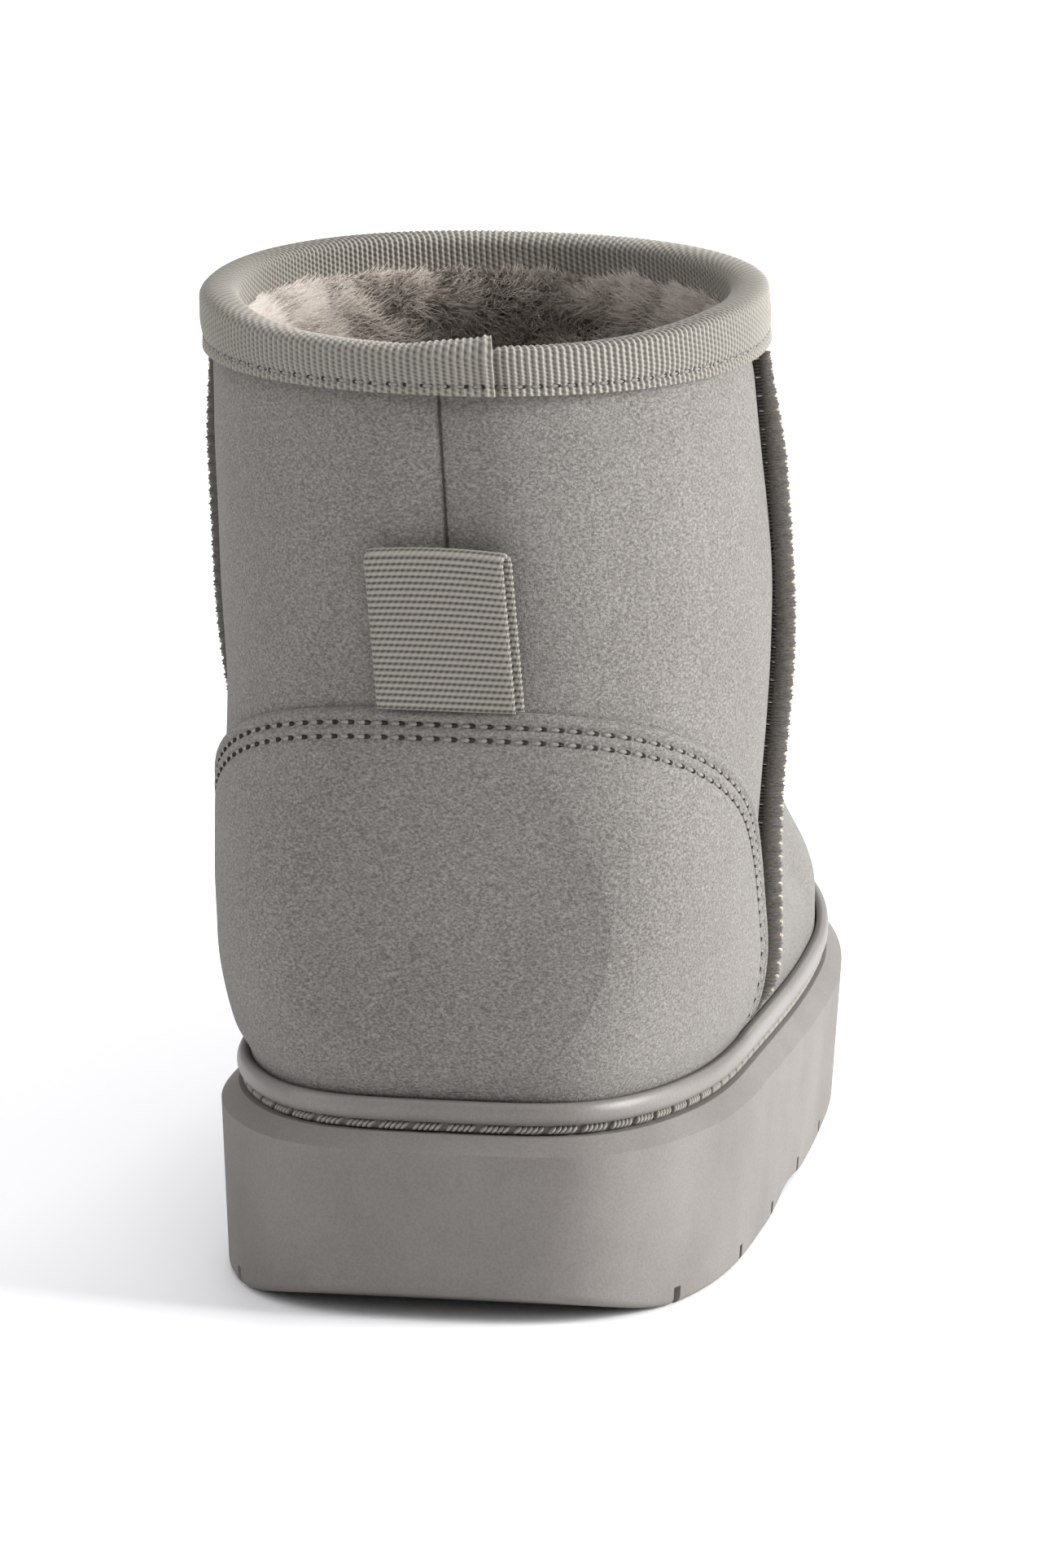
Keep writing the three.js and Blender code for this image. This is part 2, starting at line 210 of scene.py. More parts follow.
def ground(y):
    heel = boot["heelRise"] * (np.maximum(boot["heelRun"] - y, 0) / boot["heelRun"]) ** 1.7
    toeStart = boot["soleLength"] - boot["toeRun"]
    toe = boot["toeRise"] * (np.maximum(y - toeStart, 0) / boot["toeRun"]) ** 1.8
    archShare = np.clip((y / boot["soleLength"] - boot["archStart"]) / boot["archRun"], 0, 1)
    return heel + toe + boot["archRise"] * np.sin(math.pi * archShare) ** 2


def ledge(y):
    return boot["ledgeHeight"] * curveAt(ledgeRows, "height", y / boot["soleLength"])


def followLedge(level, y):
    return np.maximum(1 - level / 0.5, 0) ** 0.7 * (ledge(y) - boot["ledgeHeight"])


def sectionEnds(level):
    back = curveAt(upperRows, "back", level) * boot["featherInset"]
    toe = boot["soleLength"] - boot["featherInset"]
    collarFront = upperRows["back"][-1] * boot["featherInset"] + boot["collarLength"]
    front = mix(collarFront, toe, curveAt(upperRows, "front", level))
    return back, front


def leanAt(level):
    # how far the shaft leans to the inner side
    return boot["shaftLean"] * np.maximum((level - 0.45) / 0.55, 0) ** 1.5


waistSettings = {
    "start": 92,  # degrees round from the back
    "startRun": 18,
    "end": 150,
    "endRun": 28,
    "innerShare": 0.75,
    "fadeUp": 18,
    "fadeDown": 10,
}


def waistDepth(turn, height):
    # the forefoot narrows above the bead, in front of the side seams, most on the outer side
    s = waistSettings
    aside = np.degrees(np.arccos(np.clip(np.cos(turn), -1, 1)))
    roundShare = ease((aside - s["start"]) / s["startRun"]) * (1 - ease((aside - s["end"]) / s["endRun"]))
    rise = height - boot["waistHeight"]
    side = np.where(np.sin(turn) > 0, 1, s["innerShare"])
    return boot["waist"] * side * roundShare * bump(rise, np.where(rise > 0, s["fadeUp"], s["fadeDown"]))


def upperPoint(turn, level):
    # a point of the upper's outer face; level 0 is the ledge, 1 the collar
    turn, level = np.broadcast_arrays(np.asarray(turn, float), np.asarray(level, float))
    foot = curveAt(upperRows, "foot", level)
    heel = curveAt(upperRows, "heel", level)
    power = np.where(np.cos(turn) > 0, heel, mix(boot["shaftSquare"], boot["toeSquare"], foot))
    along = ((1 - np.cos(turn)) / 2) ** curveAt(upperRows, "skew", level)
    back, front = sectionEnds(level)
    swell = curveAt(upperRows, "swell", level) * mix(1, 0.1, ease((along - 0.25) / 0.35))
    footWidth = footHalf(turn, along) - boot["featherInset"] * (1 - swell)
    half = mix(curveAt(upperRows, "half", level) * boot["collarWidth"] / 2, footWidth, foot)
    y = back + (front - back) * along
    height = mix(boot["ledgeHeight"], boot["collarHeight"], level) + boot["clearance"]
    half = half - waistDepth(turn, height + followLedge(level, y))
    x = np.sign(np.sin(turn)) * half * cap(turn, power) - leanAt(level)
    dip = boot["collarDip"] * ease((48 - y) / 44) * ease((level - 0.93) / 0.07)
    return np.stack([x, y, height + followLedge(level, y) - dip], axis=-1)


def upperNormal(turn, level):
    step = 0.004
    level = np.asarray(level, float)
    roundways = upperPoint(turn + step, level) - upperPoint(turn - step, level)
    upways = upperPoint(turn, np.minimum(level + step, 1)) - upperPoint(turn, np.maximum(level - step, 0))
    normal = np.cross(roundways, upways)
    normal /= np.linalg.norm(normal, axis=-1, keepdims=True)
    low = np.broadcast_to(level, normal.shape[:-1]) < 0.05
    normal[low, 2] = 0
    return normal / np.linalg.norm(normal, axis=-1, keepdims=True)


def upperOffset(turn, level, distance):
    return upperPoint(turn, level) + upperNormal(turn, level) * np.asarray(distance, float)[..., None]


def turnAt(y, level):
    # the turn at which the section at a level passes a place along the foot
    back, front = sectionEnds(level)
    share = np.clip((y - back) / (front - back), 0, 1) ** (1 / curveAt(upperRows, "skew", level))
    return np.arccos(1 - 2 * share)


def levelAt(y, z):
    level = np.clip((z - boot["ledgeHeight"]) / shaftSpan, 0, 1)
    for step in range(12):
        rise = z - boot["clearance"] - followLedge(level, y) - boot["ledgeHeight"]
        level = np.clip(rise / shaftSpan, 0, 1)
    return level


# The heel's back and the inner side's widest place give the shift to the frame
everyTurn = np.linspace(0, 2 * math.pi, 57)
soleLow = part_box("outsole")[0]
shift = np.array([
    soleLow.x / mm - outline(everyTurn, 0)[0].min(),
    soleLow.y / mm - outline(everyTurn, 0)[1].min(),
    0,
])


def toFrame(points):
    return (np.asarray(points, float) + shift) * mm


def smoothPolygons(mesh):
    mesh.polygons.foreach_set("use_smooth", np.ones(len(mesh.polygons), bool))
    mesh.update()


def addPiece(name, mesh, material, nodes=()):
    piece = addObject(name, mesh)
    mesh.materials.append(material)
    smoothPolygons(mesh)
    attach(piece, "root")
    if nodes:
        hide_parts(*nodes)
    return piece


def meshOf(shape, name):
    mesh = bpy.data.meshes.new(name)
    shape.to_mesh(mesh)
    shape.free()
    return mesh


def outwardFaces(mesh, merge=0):
    # joins points that meet, where a distance is given, and turns every face outward
    shape = bmesh.new()
    shape.from_mesh(mesh)
    if merge:
        bmesh.ops.remove_doubles(shape, verts=shape.verts, dist=merge * mm)
    bmesh.ops.recalc_face_normals(shape, faces=shape.faces)
    shape.to_mesh(mesh)
    shape.free()
    return mesh


mergeDistance = 0.004


def gridMesh(name, columns, rows, place):
    # a grid whose points are placed by a function of its column and row, then joined where it meets itself
    shape = bmesh.new()
    shape.loops.layers.uv.new("UVMap")
    bmesh.ops.create_grid(shape, x_segments=columns, y_segments=rows, size=0.5, calc_uvs=True)
    mesh = meshOf(shape, name)
    flat = np.empty(len(mesh.vertices) * 3)
    mesh.vertices.foreach_get("co", flat)
    share = flat.reshape(-1, 3) + 0.5
    column = np.rint(share[:, 0] * columns).astype(int)
    row = np.rint(share[:, 1] * rows).astype(int)
    mesh.vertices.foreach_set("co", toFrame(place(column, row)).ravel())
    return outwardFaces(mesh, mergeDistance)


def copiesMesh(name, template, places, across, along, out):
    # one mesh of many small copies, each with its place and its three axes, whose lengths are its sizes
    base = np.empty(len(template.vertices) * 3)
    template.vertices.foreach_get("co", base)
    base = base.reshape(-1, 3)
    count = len(places)
    points = places[:, None, :] + base[None, :, 0:1] * across[:, None, :]
    points = points + base[None, :, 1:2] * along[:, None, :] + base[None, :, 2:3] * out[:, None, :]
    loops = np.empty(len(template.loops), int)
    template.loops.foreach_get("vertex_index", loops)
    starts = np.empty(len(template.polygons), int)
    template.polygons.foreach_get("loop_start", starts)
    step = np.arange(count)[:, None]
    mesh = bpy.data.meshes.new(name)
    mesh.vertices.add(count * len(base))
    mesh.loops.add(count * len(loops))
    mesh.polygons.add(count * len(starts))
    mesh.vertices.foreach_set("co", toFrame(points).ravel())
    mesh.loops.foreach_set("vertex_index", (loops[None, :] + step * len(base)).ravel())
    mesh.polygons.foreach_set("loop_start", (starts[None, :] + step * len(loops)).ravel())
    mesh.update(calc_edges=True)
    mesh.validate()
    return outwardFaces(mesh)


def roundTemplate(rings, segments):
    shape = bmesh.new()
    bmesh.ops.create_uvsphere(shape, u_segments=segments, v_segments=rings, radius=1)
    return meshOf(shape, "template")


stitchShape = roundTemplate(6, 8)


def addCopies(name, template, parts, material):
    # parts are the copies' places and their three axes
    return addPiece(name, copiesMesh(name, template, *parts), material)


def unit(vectors):
    return vectors / np.linalg.norm(vectors, axis=-1, keepdims=True)


def layerRows(row, face, back):
    # a layer's rows run along its face and return along its back, and one more closes it
    onFace = row <= face
    share = np.where(onFace, row / face, 1 - (row - face - 1) / (back - 1))
    return share, onFace, row == face + back + 1


def turnOf(column, columns):
    return 2 * math.pi * (column % columns) / columns


def arcOf(points):
    # the length along a line up to each of its points
    return np.concatenate([[0], np.cumsum(np.linalg.norm(np.diff(points, axis=0), axis=1))])


def pick(values, place, keys=None):
    # a line's rows at fractional indices, or at places among the keys
    if keys is None:
        keys = np.arange(len(values))
    return np.stack([np.interp(place, keys, column) for column in values.T], axis=-1)


def evenly(points, pitch):
    # places along a line at an even pitch, as fractional indices
    length = arcOf(points)
    count = max(int(length[-1] / pitch), 1)
    wanted = (np.arange(count) + 0.5) * length[-1] / count
    return np.interp(wanted, length, np.arange(len(points)))


# Materials, each with the real material's name
def linear(colour):
    values = [int(colour[i:i + 2], 16) / 255 for i in (1, 3, 5)]
    return [v / 12.92 if v <= 0.04045 else ((v + 0.055) / 1.055) ** 2.4 for v in values] + [1]


def addNode(tree, kind, inputs=None, **settings):
    node = tree.nodes.new(kind)
    for key, value in settings.items():
        setattr(node, key, value)
    for key, value in (inputs or {}).items():
        if isinstance(value, bpy.types.NodeSocket):
            tree.links.new(value, node.inputs[key])
        else:
            node.inputs[key].default_value = value
    return node


def mathOf(tree, operation, *values):
    return addNode(tree, "ShaderNodeMath", dict(enumerate(values)), operation=operation).outputs[0]


def rampOf(tree, fac, stops):
    ramp = addNode(tree, "ShaderNodeValToRGB", {"Fac": fac})
    elements = ramp.color_ramp.elements
    while len(elements) < len(stops):
        elements.new(0.5)
    for element, (place, colour) in zip(elements, stops):
        element.position = place
        element.color = linear(colour)
    return ramp.outputs["Color"]


def newMaterial(name):
    material = bpy.data.materials.new(name)
    material.use_nodes = True
    tree = material.node_tree
    shader = tree.nodes["Principled BSDF"]
    return material, tree, shader, addNode(tree, "ShaderNodeTexCoord").outputs["Object"]


surfaceKeys = ("Roughness", "Specular IOR Level", "Sheen Weight", "Sheen Roughness")


def setSurface(tree, shader, colour, *values):
    # the values go to the keys in their order, as many as are given
    tree.links.new(colour, shader.inputs["Base Color"])
    for key, value in zip(surfaceKeys, values):
        shader.inputs[key].default_value = value


def noiseOf(tree, vector, grain, detail=3.0, roughness=0.55, distortion=0.0):
    # grain is the size of one blotch in millimetres
    inputs = {"Vector": vector, "Scale": 1 / (grain * mm), "Detail": detail, "Roughness": roughness,
              "Distortion": distortion}
    return addNode(tree, "ShaderNodeTexNoise", inputs).outputs["Fac"]


def bumpOf(tree, shader, height, depth, strength):
    # depth in millimetres
    node = addNode(tree, "ShaderNodeBump", {"Height": height, "Distance": depth * mm, "Strength": strength})
    tree.links.new(node.outputs["Normal"], shader.inputs["Normal"])


def blendColours(tree, fac, a, b, way):
    return addNode(tree, "ShaderNodeMix", {0: fac, 6: a, 7: b}, data_type="RGBA", blend_type=way).outputs[2]


suedeSettings = {
    "dark": "#696663",
    "middle": "#83807c",
    "light": "#9d9a96",
    "napGrain": 0.6,  # short strokes of brushed nap
    "patchGrain": 26,
    "napDepth": 0.2,
}


def suedeMaterial(settings):
    # faux suede, brushed: matt, a short nap that catches light at grazing angles, with a mottled grain
    material, tree, shader, objectCoords = newMaterial("faux_suede")
    stretch = {"Vector": objectCoords, "Scale": (1.0, 1.0, 1.45), "Rotation": (0.0, 0.5, 0.0)}
    strokes = addNode(tree, "ShaderNodeMapping", stretch).outputs["Vector"]
    nap = noiseOf(tree, strokes, settings["napGrain"], 4, 0.62, 0.35)
    fine = noiseOf(tree, objectCoords, settings["napGrain"] * 0.4, 2, 0.5)
    patches = noiseOf(tree, objectCoords, settings["patchGrain"], 3, 0.5)
    stops = [(0.34, settings["dark"]), (0.5, settings["middle"]), (0.68, settings["light"])]
    grain = rampOf(tree, nap, stops)
    worn = rampOf(tree, patches, [(0.3, "#747372"), (0.7, "#8b8b8a")])
    setSurface(tree, shader, blendColours(tree, 0.6, grain, worn, "SOFT_LIGHT"), 0.93, 0.2, 0.2, 0.4)
    shader.inputs["Sheen Tint"].default_value = linear("#d8d6d2")
    bumpOf(tree, shader, mathOf(tree, "ADD", nap, fine), settings["napDepth"], 0.85)
    return material


rubberSettings = {
    "dark": "#78736f",
    "light": "#85817c",
    "grain": 0.5,
    "patch": 30,
}


def rubberMaterial(name, settings, roughness, depth):
    # expanded rubber, moulded: a matt skin with a fine even grain
    material, tree, shader, objectCoords = newMaterial(name)
    patches = noiseOf(tree, objectCoords, settings["patch"], 4, 0.55)
    colour = rampOf(tree, patches, [(0.3, settings["dark"]), (0.7, settings["light"])])
    grain = noiseOf(tree, objectCoords, settings["grain"], 3, 0.6)
    speckle = rampOf(tree, grain, [(0.32, "#686868"), (0.68, "#989898")])
    setSurface(tree, shader, blendColours(tree, 0.45, colour, speckle, "OVERLAY"), roughness, 0.4)
    bumpOf(tree, shader, grain, depth, 0.6)
    return material


webbingSettings = {
    "dark": "#413d38",
    "middle": "#747068",
    "light": "#918d85",
    "slant": 0.5,
}


def webbingMaterial(name, settings, ribsAlong, beadsAcross, beading, gapShade):
    # polyester grosgrain, woven: raised ribs crossed by fine threads, soft sheen on each float from the
    # shader; the colour follows the weave's height, with painted shade in the low gaps and painted light on
    # the raised floats
    material, tree, shader, objectCoords = newMaterial(name)
    uv = addNode(tree, "ShaderNodeTexCoord").outputs["UV"]
    parts = addNode(tree, "ShaderNodeSeparateXYZ", {"Vector": uv})
    ribPlace = mathOf(tree, "MULTIPLY", parts.outputs["X"], ribsAlong)
    beadPlace = mathOf(tree, "MULTIPLY", parts.outputs["Y"], beadsAcross)
    lean = mathOf(tree, "MULTIPLY_ADD", ribPlace, settings["slant"], beadPlace)

    def threads(place):
        wave = mathOf(tree, "COSINE", mathOf(tree, "MULTIPLY", place, 2 * math.pi))
        return mathOf(tree, "MULTIPLY_ADD", wave, 0.5, 0.5)

    fluff = noiseOf(tree, objectCoords, 0.5, 3, 0.6)
    both = mathOf(tree, "MULTIPLY_ADD", threads(lean), beading, threads(ribPlace))
    height = mathOf(tree, "MULTIPLY_ADD", fluff, 0.3, both)
    scaled = mathOf(tree, "MULTIPLY", height, 1 / (1.3 + beading))
    # the ramp paints shade into the gaps between ribs and threads, and light onto the raised floats
    stops = [(gapShade, settings["dark"]), (gapShade + 0.25, settings["middle"]), (0.85, settings["light"])]
    setSurface(tree, shader, rampOf(tree, scaled, stops), 0.72, 0.35, 0.15)
    bumpOf(tree, shader, height, 0.22, 0.8)
    return material


def threadMaterial(name, dark, light, layers=1.0):
    # spun polyester thread: matt, with fine fibres, in level layers where they lie over an edge
    material, tree, shader, objectCoords = newMaterial(name)
    stretched = addNode(tree, "ShaderNodeMapping", {"Vector": objectCoords, "Scale": (1.0, 1.0, layers)})
    fibres = noiseOf(tree, stretched.outputs["Vector"], 0.45 * layers ** 0.5, 4, 0.65)
    setSurface(tree, shader, rampOf(tree, fibres, [(0.3, dark), (0.7, light)]), 0.85, 0.25, 0.2)
    bumpOf(tree, shader, fibres, 0.15, 0.8)
    return material


# root and shade are painted shade deep in the pile, tip is the pile's own colour
plushSettings = {
    "root": "#786e65",
    "shade": "#a3988d",
    "tip": "#cfc4b9",
    "clump": 6.5,
}


def plushMaterial(name, settings, usePile):
    # plush pile, acrylic: pale tips over darker roots, the darker roots painted shade deep in the pile, in
    # soft clumps of the pile's own mottled tone
    material, tree, shader, objectCoords = newMaterial(name)
    clumps = noiseOf(tree, objectCoords, settings["clump"], 3, 0.55)
    strands = noiseOf(tree, objectCoords, 0.7, 3, 0.6)
    if usePile:
        pile = addNode(tree, "ShaderNodeAttribute", attribute_name="pileHeight").outputs["Fac"]
    else:
        # the backing stays near the root colour: painted shade under the pile
        pile = mathOf(tree, "MULTIPLY", strands, 0.4)
    place = mathOf(tree, "MULTIPLY_ADD", pile, 0.72, mathOf(tree, "MULTIPLY_ADD", clumps, 1.2, -0.5))
    # single strands differ a little
    place = mathOf(tree, "MULTIPLY_ADD", strands, 0.8, place)
    # root and shade stops: painted shade deep in the pile; the tip stop is the fibres' own colour
    stops = [(0.42, settings["root"]), (0.78, settings["shade"]), (1.0, settings["tip"])]
    setSurface(tree, shader, rampOf(tree, place, stops), 0.9, 0.15, 0.5, 0.5)
    bumpOf(tree, shader, strands, 0.5, 0.7)
    return material


def holeMaterial():
    # painted shade: the dark inside a needle hole in the suede
    material, tree, shader, objectCoords = newMaterial("needle_hole_shade")
    specks = noiseOf(tree, objectCoords, 0.4, 2)
    setSurface(tree, shader, rampOf(tree, specks, [(0.3, "#24211e"), (0.7, "#3a3632")]), 1, 0.05)
    return material


suede = suedeMaterial(suedeSettings)
platformRubber = rubberMaterial("expanded_rubber", rubberSettings, 0.78, 0.09)
beadRubber = rubberMaterial("moulded_rubber_bead", rubberSettings, 0.42, 0.02)
seamThread = threadMaterial("seam_edge_thread", "#2a2724", "#5b5650", 4.0)
loopThread = threadMaterial("overcast_thread", "#8b816f", "#bcb29d")
stitchThread = threadMaterial("suede_stitch_thread", "#6b6762", "#8f8b85")
darkThread = threadMaterial("back_seam_thread", "#1f1c1a", "#46413c")
# the moulded stitches are the bead's own rubber in a lighter copy: painted light on the raised dashes
mouldedStitchesPaintedLight = threadMaterial("moulded_rubber_stitches_painted_light", "#7d7973", "#98948d")
needleHoles = holeMaterial()
plushBase = plushMaterial("plush_backing", plushSettings, False)
plushTips = plushMaterial("plush_pile", plushSettings, True)
print("materials ready")

# Upper: one skin of brushed suede, its inner wall three millimetres in
upperSettings = {
    "columns": 400,
    "outerRows": 128,
    "innerRows": 14,
    "seamTrough": 0.55,
    "seamHollow": 1.5,
    "seamHollowWidth": 8,
    "hollowHeight": 145,  # where the hollow beside the back seam is deepest, and how far it reaches
    "hollowReach": 16,
}

# Soft creases: turn in degrees and height of the middle, slope in millimetres a degree,
# reach in degrees, width and depth
creaseRows = [
    (180, 108, 0.0, 52, 5.5, 1.5),
    (176, 94, 0.02, 44, 5.0, 1.2),
    (186, 121, -0.03, 38, 5.0, 0.8),
    (128, 100, 0.16, 24, 5.0, 1.0),
    (232, 100, -0.16, 24, 5.0, 1.0),
    (118, 84, 0.26, 20, 4.5, 0.8),
    (242, 84, -0.26, 20, 4.5, 0.8),
    (30, 137, 0.1, 26, 9, 0.35),
    (-26, 128, -0.12, 24, 9, 0.35),
    (20, 160, -0.05, 22, 8, 0.25),
]


def softNoise(points, grain, seed):
    return np.array([noise.noise(Vector(p)) for p in (points / grain + seed).tolist()])


def creaseDepth(turn, height):
    degrees = (np.degrees(turn) + 90) % 360 - 90
    total = np.zeros_like(degrees)
    for middleTurn, middleHeight, slope, reach, width, depth in creaseRows:
        along = (degrees - middleTurn + 180) % 360 - 180
        off = height - middleHeight - slope * along
        fade = np.exp(-((along / reach) ** 4))
        total += fade * depth * (bump(off, width) - 0.45 * bump(off - 1.9 * width, width))
    return total


def seamY(share):
    # the side seam's place along the foot, from beside the counter up to the collar
    low = counterSettings["reach"] + boot["clearance"] + seamSettings["width"] * seamSettings["standOff"]
    return mix(low, boot["collarLength"] * seamSettings["topShare"], share)


counterSettings = {
    "reach": 72,
    "height": 78,
    "backPlace": 4,
    "shoulder": 1.15,
    "power": 0.46,
    "thickness": 1.2,
    "foot": 42.2,
    "stitchRows": (2.75, 5.3),
    "stitchPitch": 3.2,
    "stitch": {"length": 2.3, "radius": 0.38},
    "hole": (0.48, 0.8, 0.36),  # half of its width, length and depth
    "holdOff": 9,  # the stitches end this far above the ledge
    "edgeRound": 0.9,
    "tuck": 5.2,
}

seamSettings = {
    "width": 5,
    "proud": 3.4,
    "pitch": 2.5,
    "wrapPitch": 0.7,
    "foot": 8.6,
    "top": 9.3,
    "standOff": 0.75,
    "topShare": 0.56,
    "base": 0.4,
    "samples": 400,
    "stations": 300,
    "ringPoints": 16,
    "wrapTilt": 12,
    "loopTilt": 30,
    "loopThread": 0.13,  # thickness, as a share of the loop's own half width
    "loopShift": 0.35,
}

bindingSettings = {
    "height": 9,
    "thickness": 1.3,
    "ribPitch": 1.3,
    "columnsPerRib": 6,
    "ribDepth": 0.16,
    "lapPlace": 6.3,
    "lapStep": 1.8,
    "lapRamp": 15,
    "roll": 0.35,
    "stitchHeight": 2.0,
    "stitchPitch": 3.2,
    "stitch": {"length": 2.4, "radius": 0.3, "sink": 0.12},
    "hole": (0.36, 0.5, 0.26),
}


def upperRelief(turn, level, points):
    # how far the suede lies below its smooth form
    height = points[:, 2]
    low = creaseDepth(turn, height)
    shaft = ease((level - 0.5) / 0.1)
    fromSeam = points[:, 0] + leanAt(level)
    atBack = (np.cos(turn) > 0.3) * shaft
    # the closed seam draws the suede in, most of all just above the loop
    hollowHeight, hollowReach = upperSettings["hollowHeight"], upperSettings["hollowReach"]
    drawn = upperSettings["seamHollow"] * (0.55 + 0.9 * bump(height - hollowHeight, hollowReach))
    low += atBack * drawn * bump(fromSeam, upperSettings["seamHollowWidth"])
    low += atBack * upperSettings["seamTrough"] * bump(fromSeam, 0.8)
    share = np.clip((level - 0.05) / 0.9, 0, 1)
    fromSide = points[:, 1] - seamY(share)
    onSide = np.abs(np.sin(turn)) > 0.5
    low += onSide * 0.9 * bump(fromSide, 7)
    wander = softNoise(points, 34, 3.1) * 0.7 + softNoise(points, 15, 8.3) * 0.3
    low += wander * ease(level / 0.1)
    belowBinding = (1 - level) * shaftSpan - bindingSettings["height"]
    low += 0.35 * bump(belowBinding - 0.5, 2.2)
    fade = ease((level - 0.045) / 0.06) * ease((1 - level) / 0.03)
    return low * fade


def placeUpper(column, row):
    s = upperSettings
    # columns lie closer together near the back seam
    share = column % s["columns"] / s["columns"]
    turn = 2 * math.pi * share - 0.5 * np.sin(2 * math.pi * share)
    level, outer, last = layerRows(row, s["outerRows"], s["innerRows"])
    points = upperPoint(turn, level)
    low = np.where(outer, upperRelief(turn, level, points), boot["wall"])
    # the last row joins the first across the foot
    level = np.where(last, 0, np.clip(level, 0, 1))
    low = np.where(last, 0, low)
    return upperOffset(turn, level, -low)


def addLayer(name, counts, place, material, nodes=()):
    # the counts are its columns, its rows on the face and its rows on the back
    columns, face, back = counts
    addPiece(name, gridMesh(name, columns, face + back + 1, place), material, nodes)


layer = [upperSettings[key] for key in ("columns", "outerRows", "innerRows")]
addLayer("suede_upper", layer, placeUpper, suede, ["upper"])
print("upper made")

# Plush lining: a lumpy backing on the wall's inside, and a standing pile on it in two lengths
liningSettings = {
    "columns": 300,
    "rows": 84,
    "backRows": 16,
    "top": 0.955,
    "bottom": 0.03,
    "depth": 1.6,
    "lump": 0.9,
    "fibres": 50000,
    "fibreLength": 8.0,
    "fibreWidth": 0.165,
}


def liningSurface(turn, level):
    base = upperPoint(turn, level)
    lump = softNoise(base, 5.5, 21.7) * liningSettings["lump"]
    return upperOffset(turn, level, -(boot["wall"] + liningSettings["depth"] + lump))


def placeLining(column, row):
    s = liningSettings
    turn = turnOf(column, s["columns"])
    share, pile, last = layerRows(row, s["rows"], s["backRows"])
    level = np.clip(mix(s["top"], s["bottom"], share), s["bottom"], s["top"])
    level = np.where(last, s["top"], level)
    points = liningSurface(turn, level)
    wall = upperOffset(turn, level, -boot["wall"] - 0.1)
    return np.where((pile | last)[:, None], points, wall)


def fibreTemplate():
    # one tapering fibre of pile, standing along its own third axis
    shape = bmesh.new()
    bmesh.ops.create_cone(shape, segments=3, radius1=1, radius2=0, depth=1, cap_ends=False)
    bmesh.ops.translate(shape, verts=shape.verts, vec=(0, 0, 0.5))
    bmesh.ops.remove_doubles(shape, verts=shape.verts, dist=0.0001)
    return meshOf(shape, "fibre")


def makePile(name, seed, reach, lengthScale):
    s = liningSettings
    random = np.random.default_rng(seed)
    count = s["fibres"]
    turn = random.uniform(0, 2 * math.pi, count)
    level = s["top"] + 0.006 - random.uniform(0, 1, count) ** 1.4 * reach
    base = liningSurface(turn, np.minimum(level, 1))
    inward = -upperNormal(turn, level)
    up = np.array([0.0, 0.0, 1.0])
    sideways = unit(np.cross(up, inward))
    # neighbouring fibres lean the same way, in soft tufts
    swirl = softNoise(base, 9, 41.3)[:, None] * 1.1 + random.normal(0, 0.42, (count, 1))
    lift = softNoise(base, 8, 77.9)[:, None] * 0.6 + random.normal(0.3, 0.36, (count, 1))
    out = unit(inward + sideways * swirl + up * lift)
    clump = 1 + 0.5 * softNoise(base, 6, 12.4)[:, None]
    length = s["fibreLength"] * lengthScale * clump * random.uniform(0.6, 1.1, (count, 1))
    # the topmost fibres are short, so they stay under the binding
    length = length * np.clip(0.45 + (s["top"] + 0.012 - level)[:, None] * 14, 0.45, 1)
    axisA = unit(np.cross(out, up + 0.01))
    axisB = np.cross(out, axisA)
    width = s["fibreWidth"] * random.uniform(0.7, 1.3, (count, 1))
    template = fibreTemplate()
    mesh = copiesMesh(name, template, base - inward * 0.5, axisA * width, axisB * width, out * length)
    heights = np.array([v.co.z for v in template.vertices])
    attribute = mesh.attributes.new("pileHeight", "FLOAT", "POINT")
    attribute.data.foreach_set("value", np.tile(heights, count).astype(np.float32))
    return addPiece(name, mesh, plushTips)


layer = [liningSettings[key] for key in ("columns", "rows", "backRows")]
addLayer("plush_lining", layer, placeLining, plushBase)
makePile("plush_pile_short", 11, 0.34, 0.8)
makePile("plush_pile_long", 12, 0.16, 1.0)

# Insole: the same plush over a soft board
insoleSettings = {
    "columns": 240,
    "rows": 16,
    "thickness": 4,
    "inset": 9.8,
}


def placeInsole(column, row):
    s = insoleSettings
    x, y = outline(turnOf(column, s["columns"]), s["inset"])
    # rows run from the middle line of the top out to the edge and back under
    half = s["rows"] // 2
    onTop = row <= half
    spread = np.where(onTop, row / half, (s["rows"] - row) / half)
    lift = np.where(onTop, boot["clearance"] + s["thickness"], boot["clearance"])
    points = np.stack([x * spread, y, ledge(y) + lift], axis=-1)
    points[:, 2] += softNoise(points, 6, 5.5) * 0.8 * onTop * (spread < 0.95)
    return points


insoleMesh = gridMesh("plush_insole", insoleSettings["columns"], insoleSettings["rows"], placeInsole)
addPiece("plush_insole", insoleMesh, plushBase, ["insole"])
print("lining made")


# Heel counter: a second layer of suede round the heel, with two rows of stitches inside its edge
def counterEdge(y):
    s = counterSettings
    back = s["backPlace"]
    share = np.clip((y - back) / (s["reach"] - back), 0, 1)
    rise = (1 - share ** s["shoulder"]) ** s["power"]
    return s["foot"] + (s["height"] + boot["ledgeHeight"] - s["foot"]) * rise


def counterLine(samples):
    # the counter's edge from the inner side round the back to the outer side, as turns, levels and places
    share = np.abs(samples)
    top = levelAt(0, np.asarray(boot["ledgeHeight"] + counterSettings["height"], float))
    back = sectionEnds(top)[0]
    y = mix(back, counterSettings["reach"], (1 - np.cos(math.pi * share)) / 2)
    level = levelAt(y, counterEdge(y))
    return np.sign(samples) * turnAt(y, level), level, y


